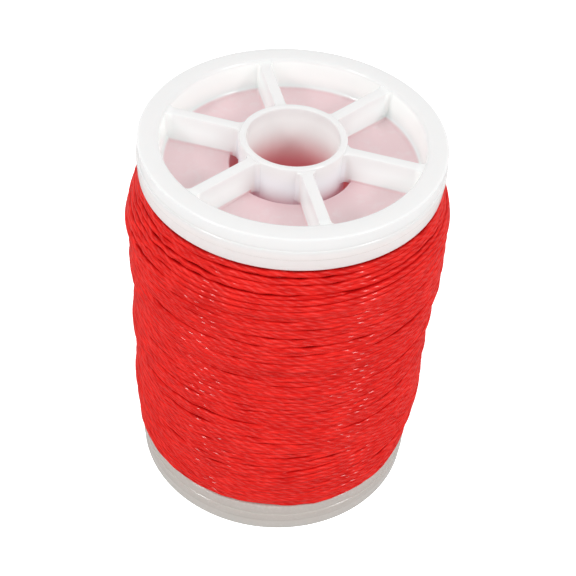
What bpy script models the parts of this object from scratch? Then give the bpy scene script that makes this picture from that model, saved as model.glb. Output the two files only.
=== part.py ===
"""String reel: two identical ribbed flange mouldings on a barrel tube, wound with string.

Metres, +Z up. The origin is the centre of the lower flange's resting face, and
+Z is the reel's axis. One rib of each flange points along +X.
"""
import math

import bmesh
import bpy
from mathutils import Matrix

MM = 0.001
SEGMENTS = 60                # sides of every turned shape, a multiple of the six ribs

# Driving dimensions
REEL_HEIGHT = 53.6 * MM
FLANGE_RADIUS = 19.0 * MM
FLANGE_DEPTH = 4.8 * MM      # outer face to the face that the string bears on
RIM_INNER_RADIUS = 16.35 * MM
RIM_DRAFT = 0.2 * MM         # the rim's inner wall leans in by this much at its foot
RIM_FILLET = 0.8 * MM        # where the rim's inner wall meets the web
CORNER_RADIUS = 0.3 * MM     # outer corner of the outer face
EDGE_RADIUS = 0.4 * MM       # rounded edges elsewhere
WEB_THICKNESS = 0.6 * MM
WELL_RADIUS = 7.75 * MM      # opening in the web, and the collar's inner wall
HUB_BORE_RADIUS = 5.75 * MM
HUB_OUTER_RADIUS = 6.65 * MM
HUB_DEPTH = 9.8 * MM
HUB_EDGE = 0.2 * MM
RIB_COUNT = 6
RIB_THICKNESS = 1.5 * MM
RIB_DROP = 0.25 * MM         # rib tops lie this far below the rim's face
COLLAR_OUTER_RADIUS = 8.45 * MM
COLLAR_LENGTH = 5.0 * MM     # the collar that plugs into the barrel tube
GAP = 0.3 * MM               # clearance between touching pieces
BARREL_WALL = 0.9 * MM

# Sizes that follow
BARREL_INNER_RADIUS = COLLAR_OUTER_RADIUS + GAP
BARREL_OUTER_RADIUS = BARREL_INNER_RADIUS + BARREL_WALL
BARREL_BOTTOM = FLANGE_DEPTH + GAP
BARREL_TOP = REEL_HEIGHT - FLANGE_DEPTH - GAP

# The string pile bulges past the flanges: (share of the way up the barrel, radius)
WINDING_PROFILE = (
    (0.000, 19.1 * MM),
    (0.020, 19.3 * MM),
    (0.080, 19.6 * MM),
    (0.200, 19.9 * MM),
    (0.420, 20.0 * MM),
    (0.580, 20.1 * MM),
    (0.720, 20.4 * MM),
    (0.800, 20.4 * MM),
    (0.870, 20.2 * MM),
    (0.915, 19.8 * MM),
    (0.950, 19.3 * MM),
    (0.975, 19.0 * MM),
    (1.000, 18.8 * MM),
)


def remove_everything():
    """Start from an empty scene."""
    for old in list(bpy.data.objects):
        bpy.data.objects.remove(old, do_unlink=True)


def plain_material(name, colour, roughness):
    """A Principled material with one colour."""
    material = bpy.data.materials.new(name)
    material.use_nodes = True
    shader = material.node_tree.nodes["Principled BSDF"]
    shader.inputs["Base Color"].default_value = (*colour, 1.0)
    shader.inputs["Roughness"].default_value = roughness
    shader.inputs["Metallic"].default_value = 0.0
    return material


def arc(centre_r, centre_z, radius, start, end, steps):
    """Points of an arc in the (radius, height) plane; the angles are in degrees."""
    points = []
    for step in range(steps + 1):
        angle = math.radians(start + (end - start) * step / steps)
        points.append((centre_r + radius * math.cos(angle), centre_z + radius * math.sin(angle)))
    return points


def turned_mesh(name, outline):
    """Turn a closed (radius, height) outline, listed clockwise, about the Z axis."""
    shape = bmesh.new()
    rings = []
    for step in range(SEGMENTS):
        angle = 2.0 * math.pi * step / SEGMENTS
        ring = [shape.verts.new((r * math.cos(angle), r * math.sin(angle), z)) for r, z in outline]
        rings.append(ring)
    for step, ring in enumerate(rings):
        following = rings[(step + 1) % SEGMENTS]
        for index in range(len(outline)):
            after = (index + 1) % len(outline)
            shape.faces.new((ring[index], ring[after], following[after], following[index]))
    bmesh.ops.recalc_face_normals(shape, faces=shape.faces)
    mesh = bpy.data.meshes.new(name)
    shape.to_mesh(mesh)
    shape.free()
    return mesh


def place(name, mesh, material=None):
    """Put a mesh in the scene as a smooth-shaded object with sharp corners kept."""
    piece = bpy.data.objects.new(name, mesh)
    bpy.context.scene.collection.objects.link(piece)
    mesh.shade_smooth()
    mesh.set_sharp_from_angle(angle=math.radians(35.0))
    if material is not None:
        mesh.materials.append(material)
    return piece


def flange_shell_outline():
    """Rim, web and collar of the upper flange; its outer face is at z = 0."""
    inner_face = -FLANGE_DEPTH
    web_top = inner_face + WEB_THICKNESS
    collar_end = inner_face - COLLAR_LENGTH
    foot_radius = RIM_INNER_RADIUS - RIM_DRAFT
    points = [(RIM_INNER_RADIUS + EDGE_RADIUS, 0.0)]
    points += arc(FLANGE_RADIUS - CORNER_RADIUS, -CORNER_RADIUS, CORNER_RADIUS, 90.0, 0.0, 5)
    points += arc(FLANGE_RADIUS - EDGE_RADIUS, inner_face + EDGE_RADIUS, EDGE_RADIUS, 0.0, -90.0, 2)
    points += [(COLLAR_OUTER_RADIUS, inner_face), (COLLAR_OUTER_RADIUS, collar_end)]
    points += [(WELL_RADIUS, collar_end), (WELL_RADIUS, web_top)]
    points += arc(foot_radius - RIM_FILLET, web_top + RIM_FILLET, RIM_FILLET, -90.0, 0.0, 3)
    points += arc(RIM_INNER_RADIUS + EDGE_RADIUS, -EDGE_RADIUS, EDGE_RADIUS, 180.0, 120.0, 2)
    return points


def hub_ring_outline():
    """The short tube in the middle of a flange, which a spindle passes through."""
    return [
        (HUB_BORE_RADIUS + HUB_EDGE, 0.0),
        (HUB_OUTER_RADIUS - HUB_EDGE, 0.0),
        (HUB_OUTER_RADIUS, -HUB_EDGE),
        (HUB_OUTER_RADIUS, -HUB_DEPTH),
        (HUB_BORE_RADIUS, -HUB_DEPTH),
        (HUB_BORE_RADIUS, -HUB_EDGE),
    ]


def rib_mesh():
    """Six upright ribs that join the hub ring to the rim and stand on the web."""
    start = 0.5 * (HUB_BORE_RADIUS + HUB_OUTER_RADIUS)
    end = RIM_INNER_RADIUS + EDGE_RADIUS
    top = -RIB_DROP
    bottom = -FLANGE_DEPTH + 0.5 * WEB_THICKNESS
    size = Matrix.Diagonal((end - start, RIB_THICKNESS, top - bottom, 1.0))
    centre = Matrix.Translation((0.5 * (start + end), 0.0, 0.5 * (top + bottom)))
    shape = bmesh.new()
    for rib in range(RIB_COUNT):
        turn = Matrix.Rotation(2.0 * math.pi * rib / RIB_COUNT, 4, "Z")
        bmesh.ops.create_cube(shape, size=1.0, matrix=turn @ centre @ size)
    mesh = bpy.data.meshes.new("ribs")
    shape.to_mesh(mesh)
    shape.free()
    return mesh


def joined_into(piece, mesh):
    """Fuse a closed mesh into a piece; the helper object itself isn't part of the model."""
    helper = place(piece.name + "_" + mesh.name, mesh)
    helper.hide_render = True
    helper.display_type = "WIRE"
    helper.parent = piece
    union = piece.modifiers.new("join_" + mesh.name, "BOOLEAN")
    union.operation = "UNION"
    union.solver = "EXACT"
    union.object = helper


def flange(name, material):
    """One flange moulding: rim, web, collar, hub ring and six ribs in one solid."""
    piece = place(name, turned_mesh(name, flange_shell_outline()), material)
    joined_into(piece, rib_mesh())
    joined_into(piece, turned_mesh("hub_ring", hub_ring_outline()))
    return piece


def barrel_tube(material):
    """The plain tube between the flanges, which the string is wound on."""
    outline = [
        (BARREL_INNER_RADIUS, BARREL_TOP),
        (BARREL_OUTER_RADIUS, BARREL_TOP),
        (BARREL_OUTER_RADIUS, BARREL_BOTTOM),
        (BARREL_INNER_RADIUS, BARREL_BOTTOM),
    ]
    return place("barrel_tube", turned_mesh("barrel_tube", outline), material)


def string_winding(material):
    """The wound string as one turned ring with the pile's outer shape."""
    inner = BARREL_OUTER_RADIUS + GAP
    rise = BARREL_TOP - BARREL_BOTTOM
    outside = [(radius, BARREL_BOTTOM + share * rise) for share, radius in WINDING_PROFILE]
    outline = [(inner, BARREL_TOP)] + outside[::-1] + [(inner, BARREL_BOTTOM)]
    return place("string_winding", turned_mesh("string_winding", outline), material)


def build():
    remove_everything()
    white_plastic = plain_material("white_plastic", (0.87, 0.86, 0.85), 0.35)
    red_string = plain_material("red_string", (0.72, 0.03, 0.025), 0.5)
    upper = flange("upper_flange", white_plastic)
    upper.location = (0.0, 0.0, REEL_HEIGHT)
    lower = flange("lower_flange", white_plastic)
    lower.rotation_euler = (math.pi, 0.0, 0.0)
    barrel_tube(white_plastic)
    string_winding(red_string)


build()
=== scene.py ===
# %% [markdown]
# # A reel of red string
#
# The reel is about as small as an object gets that still has a story in every part: two white
# moulded flanges with ribs, a plain tube between them, and about a hundred metres of red twisted
# string laid on in level turns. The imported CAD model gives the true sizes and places. This script
# keeps them and makes the surfaces worth looking at: soft edged plastic that glows pink where the
# string lies behind it, and string that is really wound, turn by turn.

# %% Load the frame
import math

import bpy
import numpy as np
from mathutils import Matrix, Vector


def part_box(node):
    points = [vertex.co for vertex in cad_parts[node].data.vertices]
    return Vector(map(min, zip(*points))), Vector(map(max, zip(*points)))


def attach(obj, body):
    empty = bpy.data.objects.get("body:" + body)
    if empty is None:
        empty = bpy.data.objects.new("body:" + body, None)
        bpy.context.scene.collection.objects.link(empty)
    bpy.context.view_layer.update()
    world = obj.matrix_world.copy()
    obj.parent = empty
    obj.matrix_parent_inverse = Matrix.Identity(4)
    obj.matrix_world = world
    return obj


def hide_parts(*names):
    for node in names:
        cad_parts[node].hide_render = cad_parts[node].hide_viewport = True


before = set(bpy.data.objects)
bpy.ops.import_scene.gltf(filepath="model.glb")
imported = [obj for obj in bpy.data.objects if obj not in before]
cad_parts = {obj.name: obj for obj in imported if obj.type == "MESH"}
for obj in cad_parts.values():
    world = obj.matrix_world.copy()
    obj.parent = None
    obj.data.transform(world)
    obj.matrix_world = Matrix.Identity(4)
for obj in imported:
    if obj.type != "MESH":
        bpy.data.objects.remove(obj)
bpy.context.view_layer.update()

MM = 0.001

# %% [markdown]
# ## Measures
#
# Everything is worked out from the CAD boxes and a few sizes of the moulding: the rim, the hub
# ring, the well round the hub and the thickness of a wall. They are the sizes that the CAD part
# was made with, so the new surfaces lie on the old ones.

# %% Measures of the moulding
flange_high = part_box("upper_flange")[1]
barrel_low, barrel_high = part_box("barrel_tube")
REEL_HEIGHT = flange_high.z
FLANGE_RADIUS = flange_high.x
BARREL_RADIUS = barrel_high.x
BARREL_BOTTOM = barrel_low.z
BARREL_TOP = barrel_high.z

FLANGE_DEPTH = 4.8 * MM  # outer face to the face that the string bears on
RIM_INNER = 16.35 * MM
WEB = 0.6 * MM
WELL_RADIUS = 7.75 * MM  # the opening in the web round the hub ring
HUB_BORE = 5.75 * MM
HUB_OUTER = 6.65 * MM
HUB_DEPTH = 9.8 * MM
COLLAR_RADIUS = 8.45 * MM
COLLAR_LENGTH = 5.0 * MM
RIB_COUNT = 6
RIB_THICKNESS = 1.5 * MM
RIB_DROP = 0.25 * MM  # rib tops lie this far below the rim's face
print("reel", round(REEL_HEIGHT / MM, 1), "mm tall")
print("flanges", round(2 * FLANGE_RADIUS / MM, 1), "mm across")

# %% [markdown]
# The real string is about 0.7 mm thick and soft, so it flattens against its neighbours. A round
# tube can't do that. The tubes are drawn a little thicker than the turns are apart, and the
# overlap stands for the flattened sides.

# %% Measures of the string
STRING = 0.88 * MM  # thickness of a drawn tube
PITCH = 0.72 * MM  # usual distance from one turn to the next
CLOSEST = 0.50 * MM  # least and greatest distance from one turn to the next
WIDEST = 0.88 * MM
print("turns", round(PITCH / MM, 2), "mm apart, drawn", round(STRING / MM, 2), "mm thick")

# %% [markdown]
# ## Working by hand, in code
#
# Blender's operators act on whatever is selected, and the loaded CAD nodes arrive selected. So
# every new piece starts by clearing the selection. Two small helpers do that and put a finished
# piece on its body in the frame.


# %% Helpers for selecting, applying and handing over
def start_fresh():
    """Leave edit mode and deselect everything."""
    if bpy.context.object and bpy.context.object.mode != "OBJECT":
        bpy.ops.object.mode_set(mode="OBJECT")
    bpy.ops.object.select_all(action="DESELECT")


def make_active(piece):
    start_fresh()
    piece.select_set(True)
    bpy.context.view_layer.objects.active = piece


def apply_modifiers(piece):
    make_active(piece)
    for modifier in list(piece.modifiers):
        bpy.ops.object.modifier_apply(modifier=modifier.name)


def hand_over(piece, node):
    """Ride on the reel and stand for the CAD node."""
    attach(piece, "root")
    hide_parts(node)
    print(piece.name, "with", len(piece.data.vertices), "vertices stands for", node)


# %% [markdown]
# ## Turning a profile
#
# A flange, a hub ring and a tube are all turned shapes. On a lathe the profile is cut as the work
# spins. Here a circle is extruded ring by ring along the profile, and each new ring is resized to
# its radius, which is how it would be done by hand in edit mode. The last ring is merged with the
# first, so the skin closes.


# %% The lathe
SAME_PLACE = 0.002 * MM  # points closer than this are one point


def arc(centre_r, centre_z, radius, start, end, steps):
    """Points of an arc in the (radius, height) plane, with the angles in degrees."""
    angles = [math.radians(start + (end - start) * step / steps) for step in range(steps + 1)]
    return [(centre_r + radius * math.cos(a), centre_z + radius * math.sin(a)) for a in angles]


def lathe(name, outline, sides):
    """Turn a closed (radius, height) outline about the Z axis."""
    start_fresh()
    radius, height = outline[0]
    bpy.ops.mesh.primitive_circle_add(vertices=sides, radius=radius, location=(0, 0, height))
    piece = bpy.context.object
    piece.name = name
    bpy.ops.object.transform_apply(location=True, rotation=True, scale=True)
    bpy.ops.object.mode_set(mode="EDIT")
    bpy.ops.mesh.select_all(action="SELECT")
    for next_radius, next_height in outline[1:] + outline[:1]:
        rise = (0.0, 0.0, next_height - height)
        bpy.ops.mesh.extrude_edges_move(TRANSFORM_OT_translate={"value": rise})
        grow = next_radius / radius
        bpy.ops.transform.resize(value=(grow, grow, 1.0), center_override=(0.0, 0.0, 0.0))
        radius, height = next_radius, next_height
    bpy.ops.mesh.select_all(action="SELECT")
    bpy.ops.mesh.remove_doubles(threshold=SAME_PLACE)
    bpy.ops.mesh.normals_make_consistent(inside=False)
    bpy.ops.object.mode_set(mode="OBJECT")
    return piece


# %% [markdown]
# ## The flange moulding
#
# The real flange is injection moulded. Thick plastic would sink as it cools, so the maker cored
# out the outer face and left a rim, a thin web and six ribs. A short hub ring in the middle takes
# the spindle, and an open well lies round it. A low band runs round the middle of the rim's side,
# and its soft shoulders catch the light.
#
# The profile of rim, web and collar is turned first.


# %% Rim, web and collar
OUTER_CORNER = 0.15 * MM
RIM_EDGE = 0.4 * MM  # round at the mouth of the rim
INNER_EDGE = 0.25 * MM
WEB_FILLET = 0.8 * MM
WELL_EDGE = 0.15 * MM
RIM_DRAFT = 0.2 * MM  # the rim's inner wall leans in by this much at its foot
BAND_STAND = 0.14 * MM  # the band stands this far out from the rim's side
BAND_ROUND = 0.28 * MM
BAND_START = 1.99 * MM
BAND_END = 2.90 * MM


def flange_profile():
    """The upper flange's section with its outer face at height 0, listed once round."""
    inner_face = -FLANGE_DEPTH
    web_top = inner_face + WEB
    collar_end = inner_face - COLLAR_LENGTH
    foot = RIM_INNER - RIM_DRAFT
    shoulder = FLANGE_RADIUS + BAND_STAND - BAND_ROUND
    mouth = RIM_INNER + RIM_EDGE
    points = [(mouth, 0.0)]
    points += arc(FLANGE_RADIUS - OUTER_CORNER, -OUTER_CORNER, OUTER_CORNER, 90.0, 0.0, 6)
    points += arc(shoulder, -BAND_START, BAND_ROUND, 60.0, 0.0, 8)
    points += arc(shoulder, -BAND_END, BAND_ROUND, 0.0, -60.0, 8)
    points += arc(FLANGE_RADIUS - INNER_EDGE, inner_face + INNER_EDGE, INNER_EDGE, 0.0, -90.0, 4)
    points += [(COLLAR_RADIUS, inner_face), (COLLAR_RADIUS, collar_end)]
    points += [(WELL_RADIUS, collar_end), (WELL_RADIUS, web_top - WELL_EDGE)]
    points += [(WELL_RADIUS + WELL_EDGE, web_top)]
    points += arc(foot - WEB_FILLET, web_top + WEB_FILLET, WEB_FILLET, -90.0, 0.0, 6)
    points += arc(mouth, -RIM_EDGE, RIM_EDGE, 180.0, 105.0, 4)
    return points


print("the section of rim, web and collar has", len(flange_profile()), "points")


# %% Hub ring
HUB_EDGE = 0.22 * MM


def hub_profile():
    """The hub ring's section, with small rounded edges at its mouth."""
    points = arc(HUB_OUTER - HUB_EDGE, -HUB_EDGE, HUB_EDGE, 90.0, 0.0, 3)
    points += [(HUB_OUTER, -HUB_DEPTH), (HUB_BORE, -HUB_DEPTH)]
    points += arc(HUB_BORE + HUB_EDGE, -HUB_EDGE, HUB_EDGE, 180.0, 90.0, 3)
    return points


print("the section of the hub ring has", len(hub_profile()), "points")

# %% [markdown]
# ## A rib
#
# A rib starts as a cube stretched between the hub ring and the rim. Bisecting it near its ends
# and its foot gives rows of points that can be widened, so the rib flares into the walls and the
# web as a moulded fillet does. Its top edges get a small bevel.


# %% A bar with cuts where it will flare
RIB_TOP = -RIB_DROP
RIB_BOTTOM = -FLANGE_DEPTH + 0.5 * WEB
WEB_TOP = -FLANGE_DEPTH + WEB
END_FILLET = 0.7 * MM
FOOT_FILLET = 0.55 * MM
FILLET_STEPS = (1.0, 0.7, 0.45, 0.25, 0.1, 0.0)  # where a fillet is cut, from its edge to the wall


def cut(place, normal):
    """Cut the whole mesh along a plane, in edit mode."""
    bpy.ops.mesh.select_all(action="SELECT")
    bpy.ops.mesh.bisect(plane_co=place, plane_no=normal)


def rib_bar():
    """A bar from the hub ring to the rim, cut across near both ends and along its foot."""
    inner = 0.5 * (HUB_BORE + HUB_OUTER)
    outer = RIM_INNER + 0.6 * MM
    start_fresh()
    middle = (0.5 * (inner + outer), 0.0, 0.5 * (RIB_TOP + RIB_BOTTOM))
    bpy.ops.mesh.primitive_cube_add(size=1.0, location=middle)
    piece = bpy.context.object
    piece.name = "rib"
    bpy.ops.transform.resize(value=(outer - inner, RIB_THICKNESS, RIB_TOP - RIB_BOTTOM))
    bpy.ops.object.transform_apply(location=True, rotation=True, scale=True)

    stops = [RIM_INNER - END_FILLET * share for share in FILLET_STEPS]
    stops += [HUB_OUTER + END_FILLET * share for share in FILLET_STEPS]
    stops += [WELL_RADIUS, WELL_RADIUS + 0.05 * MM]
    bpy.ops.object.mode_set(mode="EDIT")
    for stop in stops:
        cut((stop, 0.0, 0.0), (1.0, 0.0, 0.0))
    for share in FILLET_STEPS:
        cut((0.0, 0.0, WEB_TOP + FOOT_FILLET * share), (0.0, 0.0, 1.0))
    bpy.ops.object.mode_set(mode="OBJECT")
    return piece


# %% The flare and the bevel
RIB_DRAFT = 0.06 * MM  # half of the extra thickness at the rib's foot
RIB_THINNER = 0.04 * MM  # half of what its top lacks
TOP_BEVEL = 0.2 * MM
TINY = 0.001 * MM


def flare(distance, fillet):
    """How far a round fillet stands out at this distance from the wall."""
    reach = min(max(distance, 0.0), fillet)
    return fillet - math.sqrt(fillet**2 - (fillet - reach) ** 2)


def widen(piece):
    """Move the bar's sides out where it meets the rim, the hub ring and the web."""
    for vertex in piece.data.vertices:
        x, y, z = vertex.co
        over_web = x > WELL_RADIUS + 0.02 * MM
        wider = max(
            flare(RIM_INNER - x, END_FILLET),
            flare(x - HUB_OUTER, END_FILLET),
            flare(z - WEB_TOP, FOOT_FILLET) if over_web else 0.0,
        )
        draft = RIB_DRAFT * (RIB_TOP - z) / (RIB_TOP - RIB_BOTTOM)
        vertex.co.y = math.copysign(0.5 * RIB_THICKNESS - RIB_THINNER + draft + wider, y)


def rib():
    piece = rib_bar()
    widen(piece)
    bpy.ops.object.mode_set(mode="EDIT")
    bpy.ops.mesh.select_mode(type="EDGE")
    bpy.ops.mesh.select_all(action="DESELECT")
    bpy.ops.object.mode_set(mode="OBJECT")
    for edge in piece.data.edges:
        a, b = (piece.data.vertices[index].co for index in edge.vertices)
        on_top = min(a.z, b.z) > RIB_TOP - TINY
        edge.select = on_top and abs(a.x - b.x) > TINY
    bpy.ops.object.mode_set(mode="EDIT")
    bpy.ops.mesh.bevel(offset=TOP_BEVEL, segments=3, affect="EDGES")
    bpy.ops.mesh.select_mode(type="VERT")
    bpy.ops.mesh.select_all(action="SELECT")
    bpy.ops.mesh.normals_make_consistent(inside=False)
    bpy.ops.object.mode_set(mode="OBJECT")
    return piece


# %% [markdown]
# ## One solid from eight
#
# The turned shell, the hub ring and six turned copies of the rib are fused with Boolean unions,
# because the real flange is one shot of plastic. The lower flange is the same moulding turned
# over, so it is a copy, turned half way round the X axis and applied.


# %% Fusing the parts of a flange
FLANGE_SIDES = 192
HUB_SIDES = 96


def fuse(piece, other):
    """Add another closed shape to a piece and remove the other object."""
    union = piece.modifiers.new("fuse", "BOOLEAN")
    union.operation = "UNION"
    union.solver = "EXACT"
    union.object = other
    apply_modifiers(piece)
    bpy.data.objects.remove(other, do_unlink=True)


def build_flange(name):
    """The upper flange's moulding with its outer face at height 0."""
    piece = lathe(name, flange_profile(), FLANGE_SIDES)
    fuse(piece, lathe("hub_ring", hub_profile(), HUB_SIDES))
    for index in range(RIB_COUNT):
        one = rib()
        angle = 2.0 * math.pi * index / RIB_COUNT
        bpy.ops.transform.rotate(value=-angle, orient_axis="Z", center_override=(0.0, 0.0, 0.0))
        bpy.ops.object.transform_apply(location=True, rotation=True, scale=True)
        fuse(piece, one)
    make_active(piece)
    bpy.ops.object.shade_smooth_by_angle(angle=math.radians(28.0))
    return piece


# %% Both flanges in place
def settle(piece, matrix):
    """Move a finished mesh and leave its object at the origin."""
    piece.data.transform(matrix)
    piece.data.update()


upper_flange = build_flange("upper_flange_moulding")
lower_flange = upper_flange.copy()
lower_flange.data = upper_flange.data.copy()
lower_flange.name = "lower_flange_moulding"
bpy.context.scene.collection.objects.link(lower_flange)
settle(upper_flange, Matrix.Translation((0.0, 0.0, REEL_HEIGHT)))
settle(lower_flange, Matrix.Rotation(math.pi, 4, "X"))
print("flange moulding:", len(upper_flange.data.polygons), "faces")

# %% [markdown]
# ## The string, wound turn by turn
#
# The winding is what the eye lands on. A bump map on a plain drum would give away its straight
# silhouette, so each layer is a real tube that follows a helix. A level winder lays the turns
# side by side, but string under tension wanders: turns bunch up, leave dark gaps and ride over
# each other. Smooth waves round the reel, chosen by a fixed seed, push the path up, down and out.


# %% Shape of the pile
PILE = (  # share of the way up the barrel, outer radius of the full layers
    (0.000, 19.15 * MM),
    (0.020, 19.35 * MM),
    (0.080, 19.60 * MM),
    (0.200, 19.80 * MM),
    (0.420, 19.90 * MM),
    (0.640, 19.85 * MM),
    (0.800, 19.80 * MM),
    (0.870, 19.65 * MM),
    (0.915, 19.25 * MM),
    (0.950, 18.75 * MM),
    (0.975, 18.40 * MM),
    (1.000, 18.10 * MM),
)


def pile_radius(height):
    """Outer radius of the full layers at a height."""
    share = (height - BARREL_BOTTOM) / (BARREL_TOP - BARREL_BOTTOM)
    return np.interp(share, [p[0] for p in PILE], [p[1] for p in PILE])


print("pile radius at mid height:", round(float(pile_radius(0.5 * REEL_HEIGHT)) / MM, 2), "mm")

# %% [markdown]
# Two kinds of wander move the string. Drift is shared by neighbours: it depends on the place on
# the reel, so a whole group of turns slopes together. Looseness belongs to the string itself: it
# depends on how far the string has run, so each turn has its own, and gaps open and close.


# %% Drift and looseness
chance = np.random.default_rng(7)
LOOSE_WAVES = 40  # waves added up for one looseness


def make_drift(count, most_round, shortest, size):
    """Random smooth waves over the surface: whole waves round the reel, any length along it."""
    return [
        (
            int(chance.integers(0, most_round + 1)),
            2.0 * math.pi / chance.uniform(shortest, 5.0 * shortest),
            chance.uniform(0.0, 2.0 * math.pi),
            size * chance.uniform(0.6, 1.4) * math.sqrt(2.0 / count),
        )
        for _ in range(count)
    ]


def drift(waves, angle, height):
    """The sum of a drift's waves at each angle and height."""
    total = np.zeros_like(angle)
    for rounds, climb, phase, size in waves:
        total += size * np.sin(rounds * angle + climb * height + phase)
    return total


def looseness(angle, slowest, fastest, size):
    """Smooth random wander along the string, in waves per turn between two limits."""
    total = np.zeros_like(angle)
    for _ in range(LOOSE_WAVES):
        waves = math.exp(chance.uniform(math.log(slowest), math.log(fastest)))
        total += np.sin(waves * angle + chance.uniform(0.0, 2.0 * math.pi))
    return size * total * math.sqrt(2.0 / LOOSE_WAVES)


slope_drift = make_drift(14, 3, 11.0 * MM, 0.30 * MM)
bulge_drift = make_drift(12, 4, 6.0 * MM, 0.06 * MM)
print("waves of drift:", len(slope_drift), "up and down,", len(bulge_drift), "in and out")

# %% [markdown]
# ## From a path to string
#
# A helper turns a path into a tube with a round section. It also writes a UV map that runs along
# the string in millimetres and once round it, so that the twist of the strands can follow every
# turn. The ends are closed and dip under the pile.

# %% The tube maker
SECTION = 8  # sides of a tube


def tube_points(path, radius):
    """A ring of points round each point of an (n, 3) path."""
    along = np.gradient(path, axis=0)
    along /= np.linalg.norm(along, axis=1)[:, None]
    outward = path * np.array([1.0, 1.0, 0.0])
    outward -= along * (outward * along).sum(1)[:, None]
    outward /= np.linalg.norm(outward, axis=1)[:, None]
    sideways = np.cross(along, outward)
    turn = 2.0 * np.pi * np.arange(SECTION) / SECTION
    ring = np.cos(turn)[None, :, None] * outward[:, None]
    ring = ring + np.sin(turn)[None, :, None] * sideways[:, None]
    return path[:, None] + np.broadcast_to(radius, len(path))[:, None, None] * ring


def tube(name, path, radius):
    """A closed tube along a path, made directly from points because it is a cord.

    The radius is one number, or one for each point of the path."""
    index = np.arange(len(path) * SECTION).reshape(len(path), SECTION)
    following = np.roll(index, -1, axis=1)
    sides = np.stack([index[:-1], following[:-1], following[1:], index[1:]], -1).reshape(-1, 4)
    faces = [tuple(face) for face in sides[:, ::-1].tolist()]
    faces += [tuple(index[0].tolist()), tuple(index[-1, ::-1].tolist())]
    mesh = bpy.data.meshes.new(name)
    mesh.from_pydata(tube_points(path, radius).reshape(-1, 3).tolist(), [], faces)
    add_string_map(mesh, path, len(sides))
    mesh.shade_smooth()
    piece = bpy.data.objects.new(name, mesh)
    bpy.context.scene.collection.objects.link(piece)
    return piece


# %% The map along the string
def add_string_map(mesh, path, side_faces):
    """A UV map with millimetres along the string in U and one turn round it in V."""
    step = np.linalg.norm(np.diff(path, axis=0), axis=1)
    length = np.concatenate([[0.0], np.cumsum(step)]) / MM
    corners = np.array([loop.vertex_index for loop in mesh.loops])
    rows, columns = np.divmod(corners, SECTION)
    # The last strip of sides ends at V = 1, not back at 0.
    strips = columns[: 4 * side_faces].reshape(-1, 4)
    closing = strips.max(1, keepdims=True) == SECTION - 1
    strips[closing & (strips == 0)] = SECTION
    layout = mesh.uv_layers.new(name="along_string")
    uv = np.stack([length[rows], columns / SECTION], -1).astype(np.float32)
    layout.data.foreach_set("uv", uv.ravel())


# %% [markdown]
# ## Laying the turns
#
# A helix with one fixed pitch looks like a screw thread. On the real reel each turn wanders by
# itself until it meets the one before it, so the distance between the two is kept within limits.
# It is measured along the pile's surface, because the pile curves in at its ends.


# %% One wound layer
POINTS_PER_TURN = 190
PILE_STEPS = 2000  # steps for measuring the length of the pile's surface
CALM_ZONE = 3.0 * MM  # the drift dies away this near to a flange
LOW_TURN = FLANGE_DEPTH + 0.5 * STRING
HIGH_TURN = REEL_HEIGHT - FLANGE_DEPTH - 0.5 * STRING


def keep_apart(place):
    """Hold each turn between CLOSEST and WIDEST from the turn before it."""
    for start in range(POINTS_PER_TURN, len(place), POINTS_PER_TURN):
        row = slice(start, min(start + POINTS_PER_TURN, len(place)))
        before = place[start - POINTS_PER_TURN : start][: row.stop - start]
        place[row] = before + np.clip(place[row] - before, CLOSEST, WIDEST)
    return place


def on_pile(angle, height, lift):
    """Distance from the axis to the middle of a string that lies on the pile."""
    return pile_radius(height) - 0.5 * STRING + lift + drift(bulge_drift, angle, height)


def round_the_reel(angle, radius, height):
    return np.stack([radius * np.cos(angle), radius * np.sin(angle), height], -1)


def wound_path(start_height, end_height, lift, start_angle=0.0):
    """A layer's path and its thickness, with the turns spaced along the pile's surface."""
    climbing = math.copysign(1.0, end_height - start_height)
    levels = np.linspace(start_height, end_height, PILE_STEPS)
    rise = np.hypot(np.diff(levels), np.diff(pile_radius(levels)))
    run = np.concatenate([[0.0], np.cumsum(rise)])
    step = np.arange(int(run[-1] / PITCH * POINTS_PER_TURN))
    angle = start_angle + step * 2.0 * math.pi / POINTS_PER_TURN
    place = step * PITCH / POINTS_PER_TURN
    level = np.interp(place, run, levels)
    room = np.minimum(level - LOW_TURN, HIGH_TURN - level)
    calm = np.clip(room / CALM_ZONE, 0.0, 1.0)
    wander = climbing * calm * drift(slope_drift, angle, level)
    place += wander + looseness(angle, 0.4, 4.0, 0.11 * MM)
    height = np.interp(keep_apart(place), run, levels)
    height = np.clip(height + looseness(angle, 5.0, 50.0, 0.05 * MM), LOW_TURN, HIGH_TURN)
    radius = on_pile(angle, height, lift)
    radius += looseness(angle, 0.6, 6.0, 0.07 * MM) + looseness(angle, 6.0, 50.0, 0.03 * MM)
    thickness = 0.5 * STRING * (1.0 + looseness(angle, 6.0, 60.0, 0.06))
    return round_the_reel(angle, radius, height), thickness


# %% Wind the layers
UNDER_LIFT = -0.60 * STRING
LAST_LIFT = 0.75 * STRING
last_height = REEL_HEIGHT - 20.5 * MM  # where the last layer stops
under_layer = tube("string_under_layer", *wound_path(HIGH_TURN, LOW_TURN, UNDER_LIFT, 1.0))
full_layer = tube("string_full_layer", *wound_path(LOW_TURN, HIGH_TURN, 0.0))
last_layer = tube("string_last_layer", *wound_path(HIGH_TURN, last_height, LAST_LIFT))
for layer in (under_layer, full_layer, last_layer):
    print(layer.name, len(layer.data.polygons), "faces")

# %% [markdown]
# Here and there the winder let a few turns run across the others at a slant of up to four
# degrees. Each such bundle starts under its neighbours, comes up, lies on top for part of a turn,
# and goes under again. That gives the long wedge shaped gaps beside it.


# %% Bundles that cross the other turns
BUNDLES = 9
BUNDLE_POINTS_PER_TURN = 150.0
END_SHARE = 0.12  # share of its length over which a bundle comes up or goes under


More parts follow.
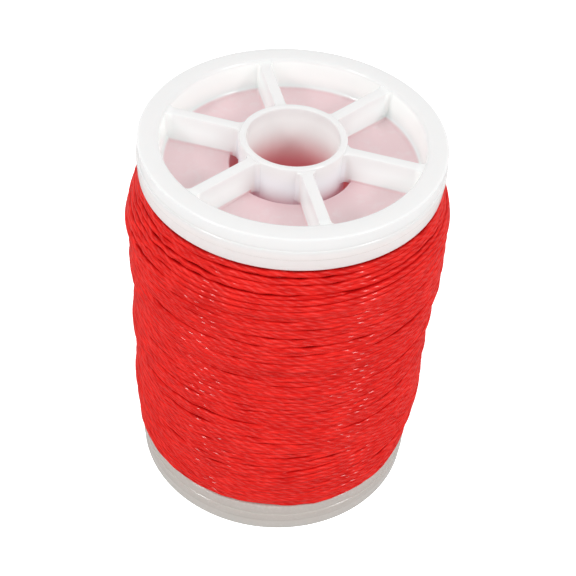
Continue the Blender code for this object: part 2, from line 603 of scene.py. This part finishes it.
def crossing_bundle(number):
    """A few strings side by side that climb across the layer between two sunk ends."""
    start_angle = chance.uniform(0.0, 2.0 * math.pi)
    sweep = math.radians(chance.uniform(110.0, 330.0))
    middle = chance.uniform(BARREL_BOTTOM + 3.0 * MM, BARREL_TOP - 4.0 * MM)
    climb = chance.choice([-1.0, 1.0]) * chance.uniform(1.0, 2.6) * MM
    strings = int(chance.integers(1, 4))
    over_last = LAST_LIFT if middle > last_height + 2.0 * MM else 0.0
    count = int(BUNDLE_POINTS_PER_TURN * sweep / (2.0 * math.pi))
    angle = start_angle + np.linspace(0.0, sweep, count)
    share = np.linspace(-0.5, 0.5, count)
    ends = np.clip((0.5 - np.abs(share)) / END_SHARE, 0.0, 1.0)
    lift = over_last - 0.5 * STRING + (0.85 * STRING) * ends * ends * (3.0 - 2.0 * ends)
    tubes = []
    for index in range(strings):
        level = middle + climb * share + index * PITCH
        height = level + drift(slope_drift, angle, level) + looseness(angle, 0.4, 4.0, 0.08 * MM)
        height = np.clip(height, LOW_TURN, HIGH_TURN)
        path = round_the_reel(angle, on_pile(angle, height, lift), height)
        tubes.append(tube(f"crossing_{number}_{index}", path, 0.5 * STRING))
    return tubes


crossings = [one for number in range(BUNDLES) for one in crossing_bundle(number)]
make_active(crossings[0])
for one in crossings:
    one.select_set(True)
bpy.ops.object.join()
crossing_turns = bpy.context.object
crossing_turns.name = "string_crossing_turns"
print("crossing strings:", len(crossings), "with", len(crossing_turns.data.polygons), "faces")

# %% [markdown]
# Under the outer layers lies the rest of the string. Nobody sees its turns, so it is one turned
# sleeve a little below the outer layer, and it shows only as dark red between the turns.

# %% The layers underneath
CORE_GAP = 0.3 * MM  # between the barrel tube and the string
CORE_SINK = 1.4 * STRING  # the sleeve lies this far below the pile's outside
core_outline = [(BARREL_RADIUS + CORE_GAP, BARREL_TOP)]
for share, radius in PILE[::-1]:
    height = BARREL_BOTTOM + share * (BARREL_TOP - BARREL_BOTTOM)
    core_outline.append((radius - CORE_SINK, height))
core_outline.append((BARREL_RADIUS + CORE_GAP, BARREL_BOTTOM))
string_core = lathe("string_core", core_outline, 96)
make_active(string_core)
bpy.ops.object.shade_smooth_by_angle(angle=math.radians(40.0))
string_core.data.uv_layers.new(name="along_string")
print("core sleeve:", len(string_core.data.polygons), "faces")

# %% [markdown]
# ## Materials
#
# A node tree can be drawn by hand in the shader editor, or wired in code. Code repeats the same
# few moves, so each move gets a small function: add a node, do a sum, mix two colours, make
# noise, and turn a measure into a mask that runs smoothly from 0 to 1.


# %% Small tools for node trees
def new_material(name):
    material = bpy.data.materials.new(name)
    material.use_nodes = True
    return material, material.node_tree, material.node_tree.nodes["Principled BSDF"]


def add_node(tree, kind, **settings):
    node = tree.nodes.new(kind)
    for key, value in settings.items():
        setattr(node, key, value)
    return node


def feed(tree, sockets, values):
    """Give each input a number or colour, or link it to another node's output."""
    for socket, value in zip(sockets, values):
        if isinstance(value, bpy.types.NodeSocket):
            tree.links.new(value, socket)
        else:
            socket.default_value = value


def maths(tree, operation, *values):
    node = add_node(tree, "ShaderNodeMath", operation=operation)
    feed(tree, node.inputs, values)
    return node.outputs[0]


def product(tree, first, *others):
    """Several masks multiplied together."""
    for other in others:
        first = maths(tree, "MULTIPLY", first, other)
    return first


def mix_colours(tree, factor, first, second):
    node = add_node(tree, "ShaderNodeMix", data_type="RGBA")
    feed(tree, (node.inputs[0], node.inputs[6], node.inputs[7]), (factor, first, second))
    return node.outputs[2]


def noise(tree, vector, scale, detail):
    node = add_node(tree, "ShaderNodeTexNoise")
    node.inputs["Scale"].default_value = scale
    node.inputs["Detail"].default_value = detail
    tree.links.new(vector, node.inputs["Vector"])
    return node.outputs["Fac"]


def ramp(tree, value, low, high):
    """0 below low, 1 above high, smooth between."""
    node = add_node(tree, "ShaderNodeMapRange", interpolation_type="SMOOTHSTEP")
    node.inputs["From Min"].default_value = low
    node.inputs["From Max"].default_value = high
    tree.links.new(value, node.inputs["Value"])
    return node.outputs["Result"]


def fade(tree, value, low, high):
    """1 below low, 0 above high, smooth between."""
    return maths(tree, "SUBTRACT", 1.0, ramp(tree, value, low, high))


def add_bump(tree, shader, height, strength, distance):
    bump = add_node(tree, "ShaderNodeBump")
    bump.inputs["Strength"].default_value = strength
    bump.inputs["Distance"].default_value = distance
    tree.links.new(height, bump.inputs["Height"])
    tree.links.new(bump.outputs[0], shader.inputs["Normal"])


# %% [markdown]
# ## White plastic
#
# The plastic is natural white polypropylene, a little translucent. Where the red string lies
# close behind a thin wall, the wall glows pink. Light that really passes through a wall is slow
# to render cleanly, so that glow is painted into the colour instead, with more painted light and
# shade: warm light on the rim's side, deep red shade far down the well and the bore, and grey
# shade on the lower flange. The tints follow the place of each point: its distance from the axis,
# its depth below the nearer outer face and, on the lower flange, its height. Both flanges then
# share one material.


# %% Where a point lies on the reel
def reel_place(tree):
    """The point, its distance from the axis, its depth below an outer face and its height."""
    place = add_node(tree, "ShaderNodeTexCoord").outputs["Object"]
    axes = add_node(tree, "ShaderNodeSeparateXYZ")
    tree.links.new(place, axes.inputs[0])
    x, y, z = axes.outputs
    squares = maths(tree, "ADD", maths(tree, "MULTIPLY", x, x), maths(tree, "MULTIPLY", y, y))
    radius = maths(tree, "SQRT", squares)
    from_middle = maths(tree, "ABSOLUTE", maths(tree, "SUBTRACT", z, 0.5 * REEL_HEIGHT))
    depth = maths(tree, "SUBTRACT", 0.5 * REEL_HEIGHT, from_middle)
    return place, radius, depth, z


# %% Tints of the plastic, with painted light and shade
WHITE = (0.862, 0.860, 0.856, 1.0)
SIDE_WARM_LIGHT = (0.935, 0.885, 0.870, 1.0)  # painted warm light from the string on the rim's side
WEB_GLOW_PINK = (0.84, 0.52, 0.55, 1.0)  # painted pink glow on the thin web, from the string behind it
DEEP_SHADE_RED = (0.55, 0.15, 0.17, 1.0)  # painted shade, reddened by the string, far down the well and the bore
LOWER_SHADE_GREY = (0.57, 0.54, 0.500, 1.0)  # painted shade: the lower flange, in the reel's own shade
WEB_DEPTH = FLANGE_DEPTH - WEB


def deep_shade_and_glow_mask(tree, radius, depth):
    """The inside of the reel, for painted deep shade and red glow: it grows with depth down the
    well and the barrel tube.
    """
    in_well = fade(tree, radius, WELL_RADIUS + 0.05 * MM, WELL_RADIUS + 0.20 * MM)
    in_barrel = fade(tree, radius, 9.7 * MM, 9.9 * MM)
    in_barrel = product(tree, in_barrel, ramp(tree, depth, 4.85 * MM, 5.0 * MM))
    inside = maths(tree, "MAXIMUM", in_well, in_barrel)
    return product(tree, inside, ramp(tree, depth, 2.6 * MM, 9.6 * MM))


# Base colour, with painted light and shade mixed in by place.
def plastic_colour_and_painted_light(tree, place, radius, depth, height, sunk):
    # Painted warm light from the string, on the rim's side.
    side_light = ramp(tree, radius, 18.5 * MM, 18.95 * MM)
    side_light = product(tree, side_light, ramp(tree, depth, 1.6 * MM, 2.6 * MM))
    colour = mix_colours(tree, side_light, WHITE, SIDE_WARM_LIGHT)

    # Painted pink glow on the thin web, from the string behind it, in random blotches.
    blotch = noise(tree, place, 900.0, 3.0)
    web_glow = product(
        tree,
        ramp(tree, depth, WEB_DEPTH - 0.35 * MM, WEB_DEPTH - 0.05 * MM),
        fade(tree, radius, 16.0 * MM, 16.5 * MM),
        ramp(tree, radius, WELL_RADIUS - 0.4 * MM, WELL_RADIUS - 0.1 * MM),
        maths(tree, "MULTIPLY_ADD", blotch, 0.5, 0.75),
    )
    colour = mix_colours(tree, web_glow, colour, WEB_GLOW_PINK)
    # Painted deep red shade far down the well and the bore.
    colour = mix_colours(tree, sunk, colour, DEEP_SHADE_RED)

    # Painted grey shade on the lower flange, with a random speckle.
    speckle = noise(tree, place, 2600.0, 1.0)
    lower_shade = fade(tree, height, 3.0 * MM, 12.0 * MM)
    lower_shade = product(tree, lower_shade, maths(tree, "MULTIPLY_ADD", speckle, 0.5, 0.78))
    return mix_colours(tree, lower_shade, colour, LOWER_SHADE_GREY)


# %% Light that comes through the plastic
NO_GLOW = (0.0, 0.0, 0.0, 1.0)
POCKET_GLOW = (0.064, 0.104, 0.099, 1.0)
BORE_GLOW = (0.10, 0.13, 0.125, 1.0)
RIM_WALL_GLOW = (0.130, 0.160, 0.148, 1.0)
HUB_GLOW = (0.020, 0.046, 0.072, 1.0)
RIM_GLOW = (0.05, 0.05, 0.05, 1.0)
SUNK_GLOW = (0.14, 0.040, 0.044, 1.0)


def plastic_glow(tree, radius, depth, sunk):
    """Faint emission, most of it in the pockets, where light comes in from all sides."""
    in_pocket = product(
        tree,
        ramp(tree, depth, 0.2 * MM, 2.4 * MM),
        fade(tree, radius, 16.35 * MM, 16.75 * MM),
        ramp(tree, radius, 6.4 * MM, 10.5 * MM),
    )
    glow = mix_colours(tree, in_pocket, NO_GLOW, POCKET_GLOW)
    in_bore = fade(tree, radius, HUB_BORE + 0.1 * MM, HUB_BORE + 0.2 * MM)
    in_bore = product(tree, in_bore, ramp(tree, depth, 0.2 * MM, 2.0 * MM))
    glow = mix_colours(tree, in_bore, glow, BORE_GLOW)

    near_mouth = ramp(tree, depth, 0.05 * MM, 0.6 * MM)
    near_mouth = maths(tree, "SUBTRACT", near_mouth, ramp(tree, depth, 2.2 * MM, 4.4 * MM))
    on_rim_wall = product(
        tree,
        near_mouth,
        ramp(tree, radius, 15.2 * MM, 16.0 * MM),
        fade(tree, radius, 16.6 * MM, 16.9 * MM),
    )
    glow = mix_colours(tree, on_rim_wall, glow, RIM_WALL_GLOW)
    on_hub = product(
        tree,
        fade(tree, radius, 6.9 * MM, 7.2 * MM),
        ramp(tree, radius, 6.2 * MM, 6.5 * MM),
        ramp(tree, depth, 0.3 * MM, 3.0 * MM),
    )
    glow = mix_colours(tree, on_hub, glow, HUB_GLOW)
    on_rim = fade(tree, depth, 1.3 * MM, 1.8 * MM)
    on_rim = product(tree, on_rim, ramp(tree, radius, 18.6 * MM, 18.9 * MM))
    glow = mix_colours(tree, on_rim, glow, RIM_GLOW)
    # Painted red glow far down the well and the bore.
    return mix_colours(tree, sunk, glow, SUNK_GLOW)


# %% White plastic
def white_plastic():
    material, tree, shader = new_material("white_plastic")
    place, radius, depth, height = reel_place(tree)
    # Where painted deep shade and red glow go, far down the well and the bore.
    sunk = deep_shade_and_glow_mask(tree, radius, depth)
    colour = plastic_colour_and_painted_light(tree, place, radius, depth, height, sunk)
    tree.links.new(colour, shader.inputs["Base Color"])
    tree.links.new(plastic_glow(tree, radius, depth, sunk), shader.inputs["Emission Color"])
    shader.inputs["Emission Strength"].default_value = 1.0
    grain = noise(tree, place, 5200.0, 3.0)
    tree.links.new(maths(tree, "MULTIPLY_ADD", grain, 0.12, 0.11), shader.inputs["Roughness"])
    add_bump(tree, shader, noise(tree, place, 700.0, 2.0), 0.35, 0.02 * MM)
    shader.inputs["IOR"].default_value = 1.49
    shader.inputs["Specular IOR Level"].default_value = 0.8
    shader.inputs["Subsurface Weight"].default_value = 0.5
    shader.inputs["Subsurface Radius"].default_value = (1.0, 0.93, 0.92)
    shader.inputs["Subsurface Scale"].default_value = 2.5 * MM
    return material


plastic = white_plastic()
print("white plastic:", len(plastic.node_tree.nodes), "nodes")


# %% [markdown]
# ## Red string
#
# The string is five strands with a long twist. In the string's own UV map a strand is a slanting
# stripe, so its rounded height is a formula of the distance along and round the string. The
# filaments in a strand are fine streaks along the string, and here and there they carry wax that
# gleams. A string's sides lie in the groove between two turns, where painted shade keeps them
# darker, and a little painted shade marks where two strands meet.

# %% Red twisted string
STRANDS = 5.0
LAY = 7.5  # millimetres of string for one turn of the twist
BRIGHT_RED = (0.98, 0.034, 0.026, 1.0)
DARK_RED = (0.62, 0.008, 0.007, 1.0)
GROOVE_SHADE_RED = (0.54, 0.005, 0.005, 1.0)


def streaks(tree, along, around, across, lengthwise, detail):
    """Noise drawn out along the string: many cells round it, few along it."""
    stretched = add_node(tree, "ShaderNodeCombineXYZ")
    tree.links.new(maths(tree, "MULTIPLY", around, across), stretched.inputs[0])
    tree.links.new(maths(tree, "MULTIPLY", along, lengthwise), stretched.inputs[1])
    return noise(tree, stretched.outputs[0], 1.0, detail)


def strand_wave(tree, along, around):
    """1 along the crest of each strand and -1 between two strands."""
    twist = maths(tree, "SUBTRACT", around, maths(tree, "DIVIDE", along, LAY))
    phase = maths(tree, "MULTIPLY", twist, STRANDS)
    return maths(tree, "COSINE", maths(tree, "MULTIPLY", phase, 2.0 * math.pi))


def string_colour(tree, hair, hump, around):
    """Bright and dark red by filament and patch, a little painted shade between strands, and
    painted shade at the string's sides.
    """
    place = add_node(tree, "ShaderNodeTexCoord").outputs["Object"]
    patch = noise(tree, place, 180.0, 2.0)
    # Filament and patch tone, with a little painted shade where two strands meet.
    shade = maths(tree, "ADD", product(tree, hair, 0.85), product(tree, hump, 0.08))
    shade = maths(tree, "ADD", shade, product(tree, patch, 0.2))
    colour = mix_colours(tree, ramp(tree, shade, 0.35, 0.80), DARK_RED, BRIGHT_RED)
    # Painted shade on the string's sides, in the groove between two turns.
    off_middle = maths(tree, "ABSOLUTE", maths(tree, "SUBTRACT", around, 0.5))
    groove_shade = ramp(tree, maths(tree, "SUBTRACT", 0.5, off_middle), 0.15, 0.25)
    return mix_colours(tree, groove_shade, colour, GROOVE_SHADE_RED)


def string_shine(tree, along, around, wave):
    """Where the coat of wax gleams: on strand crests, in streaks, and seen face on."""
    wax = ramp(tree, streaks(tree, along, around, 5.0, 0.7, 1.0), 0.38, 0.52)
    crest = ramp(tree, wave, -0.10, 0.80)
    weight = add_node(tree, "ShaderNodeLayerWeight")
    weight.inputs["Blend"].default_value = 0.5
    face_on = maths(tree, "SUBTRACT", 1.0, weight.outputs["Facing"])
    return product(tree, wax, crest, maths(tree, "POWER", face_on, 1.5))


def red_string():
    material, tree, shader = new_material("red_string")
    parts = add_node(tree, "ShaderNodeSeparateXYZ")
    layout = add_node(tree, "ShaderNodeUVMap", uv_map="along_string")
    tree.links.new(layout.outputs[0], parts.inputs[0])
    along, around = parts.outputs[0], parts.outputs[1]
    wave = strand_wave(tree, along, around)
    hump = maths(tree, "POWER", maths(tree, "MULTIPLY_ADD", wave, 0.5, 0.5), 0.45)
    hair = streaks(tree, along, around, 13.0, 0.40, 3.0)
    relief = maths(tree, "ADD", product(tree, hump, 0.4), product(tree, hair, 1.1))
    add_bump(tree, shader, relief, 0.65, 0.018 * MM)
    tree.links.new(string_colour(tree, hair, hump, around), shader.inputs["Base Color"])
    tree.links.new(maths(tree, "MULTIPLY_ADD", hair, 0.25, 0.30), shader.inputs["Roughness"])
    tree.links.new(string_shine(tree, along, around, wave), shader.inputs["Coat Weight"])
    shader.inputs["Specular IOR Level"].default_value = 0.05
    shader.inputs["Coat Roughness"].default_value = 0.16
    return material


string_finish = red_string()
print("red string:", len(string_finish.node_tree.nodes), "nodes")


# %% Dress the pieces and hand them over
def dress(piece, material):
    piece.data.materials.clear()
    piece.data.materials.append(material)


for moulding in (upper_flange, lower_flange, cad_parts["barrel_tube"]):
    dress(moulding, plastic)
hand_over(upper_flange, "upper_flange")
hand_over(lower_flange, "lower_flange")
for layer in (string_core, under_layer, full_layer, last_layer, crossing_turns):
    dress(layer, string_finish)
    hand_over(layer, "string_winding")

# %% [markdown]
# ## The floor
#
# A small white and red object is often shown in a bright room on a floor with no visible edge.
# A lit floor alone would turn grey away from the lamps, so the camera sees it glow, while the
# reel is lit only by what the floor really reflects.

# %% The floor
NOTHING = (0.0, 0.0, 0.0, 1.0)
start_fresh()
bpy.ops.mesh.primitive_plane_add(size=2.0, location=(0.0, 0.0, 0.0))
floor = bpy.context.object
floor.name = "floor"
floor_finish, floor_tree, floor_shader = new_material("pale_floor")
floor_shader.inputs["Base Color"].default_value = (0.75, 0.75, 0.75, 1.0)
floor_shader.inputs["Roughness"].default_value = 0.9
seen = add_node(floor_tree, "ShaderNodeLightPath").outputs["Is Camera Ray"]
floor_light = mix_colours(floor_tree, seen, NOTHING, (0.95, 0.95, 0.95, 1.0))
floor_tree.links.new(floor_light, floor_shader.inputs["Emission Color"])
floor_shader.inputs["Emission Strength"].default_value = 1.0
dress(floor, floor_finish)
print("floor:", round(floor.dimensions.x, 1), "m wide")

# %% [markdown]
# ## Soft light
#
# Most of the light is the bright room itself, which is soft and even. Two dim softboxes, one to
# each side of the viewer, put long highlights on the rims and small gleams on the string.

# %% Two softboxes
VIEW_AZIMUTH = -75.8


def toward(azimuth, elevation):
    """A unit vector toward a direction given in degrees."""
    turn, rise = math.radians(azimuth), math.radians(elevation)
    level = math.cos(rise)
    return Vector((level * math.cos(turn), level * math.sin(turn), math.sin(rise)))


def softbox(name, azimuth, elevation, distance, width, power):
    """An area light that faces the middle of the reel."""
    start_fresh()
    away = toward(azimuth, elevation)
    middle = Vector((0.0, 0.0, 0.5 * REEL_HEIGHT))
    bpy.ops.object.light_add(type="AREA", location=middle + distance * away)
    lamp = bpy.context.object
    lamp.name = name
    lamp.rotation_euler = away.to_track_quat("Z", "Y").to_euler()
    lamp.data.size = width
    lamp.data.energy = power
    print(name, "gives", power, "W from", distance, "m")


softbox("left_softbox", VIEW_AZIMUTH - 54.0, 38.0, 0.45, 0.08, 0.40)
softbox("right_softbox", VIEW_AZIMUTH + 60.0, 38.0, 0.45, 0.08, 0.40)

# %% The bright room
ROOM_LIGHT = (0.78, 0.78, 0.78, 1.0)
ROOM_SEEN = (1.0, 1.0, 1.0, 1.0)
world = bpy.data.worlds.new("bright_room")
world.use_nodes = True
room = world.node_tree
seen = add_node(room, "ShaderNodeLightPath").outputs["Is Camera Ray"]
shown = mix_colours(room, seen, ROOM_LIGHT, ROOM_SEEN)
room.links.new(shown, room.nodes["Background"].inputs["Color"])
bpy.context.scene.world = world
bpy.context.scene.view_settings.view_transform = "Standard"
print("room light:", ROOM_LIGHT[0])

# %% [markdown]
# ## The camera
#
# The camera looks down on the reel from close by, so the upper flange looks wider than the lower
# one and the sides draw together. It is placed by its direction and distance from the middle of
# the upper face, aimed at a point near the axis, and then rolled a little.

# %% The camera
VIEW_ELEVATION = 37.2
VIEW_DISTANCE = 164.3 * MM
AIM_SIDE = 0.69 * MM
AIM_HEIGHT = 28.07 * MM
CAMERA_ROLL = -4.28
turn = math.radians(VIEW_AZIMUTH)
eye = Vector((0.0, 0.0, REEL_HEIGHT)) + VIEW_DISTANCE * toward(VIEW_AZIMUTH, VIEW_ELEVATION)
aim = Vector((-math.sin(turn) * AIM_SIDE, math.cos(turn) * AIM_SIDE, AIM_HEIGHT))
forward = (aim - eye).normalized()
level_right = forward.cross(Vector((0.0, 0.0, 1.0))).normalized()
level_up = level_right.cross(forward)
lean = math.radians(CAMERA_ROLL)
up = level_up * math.cos(lean) + level_right * math.sin(lean)
right = forward.cross(up)
axes = Matrix((right, up, -forward)).transposed().to_4x4()
start_fresh()
bpy.ops.object.camera_add()
camera = bpy.context.object
camera.matrix_world = Matrix.Translation(eye) @ axes
camera.data.lens = 83.9
camera.data.sensor_width = 36.0
camera.data.clip_start = 0.005
bpy.context.scene.camera = camera
print("camera at", [round(v / MM) for v in eye], "mm")
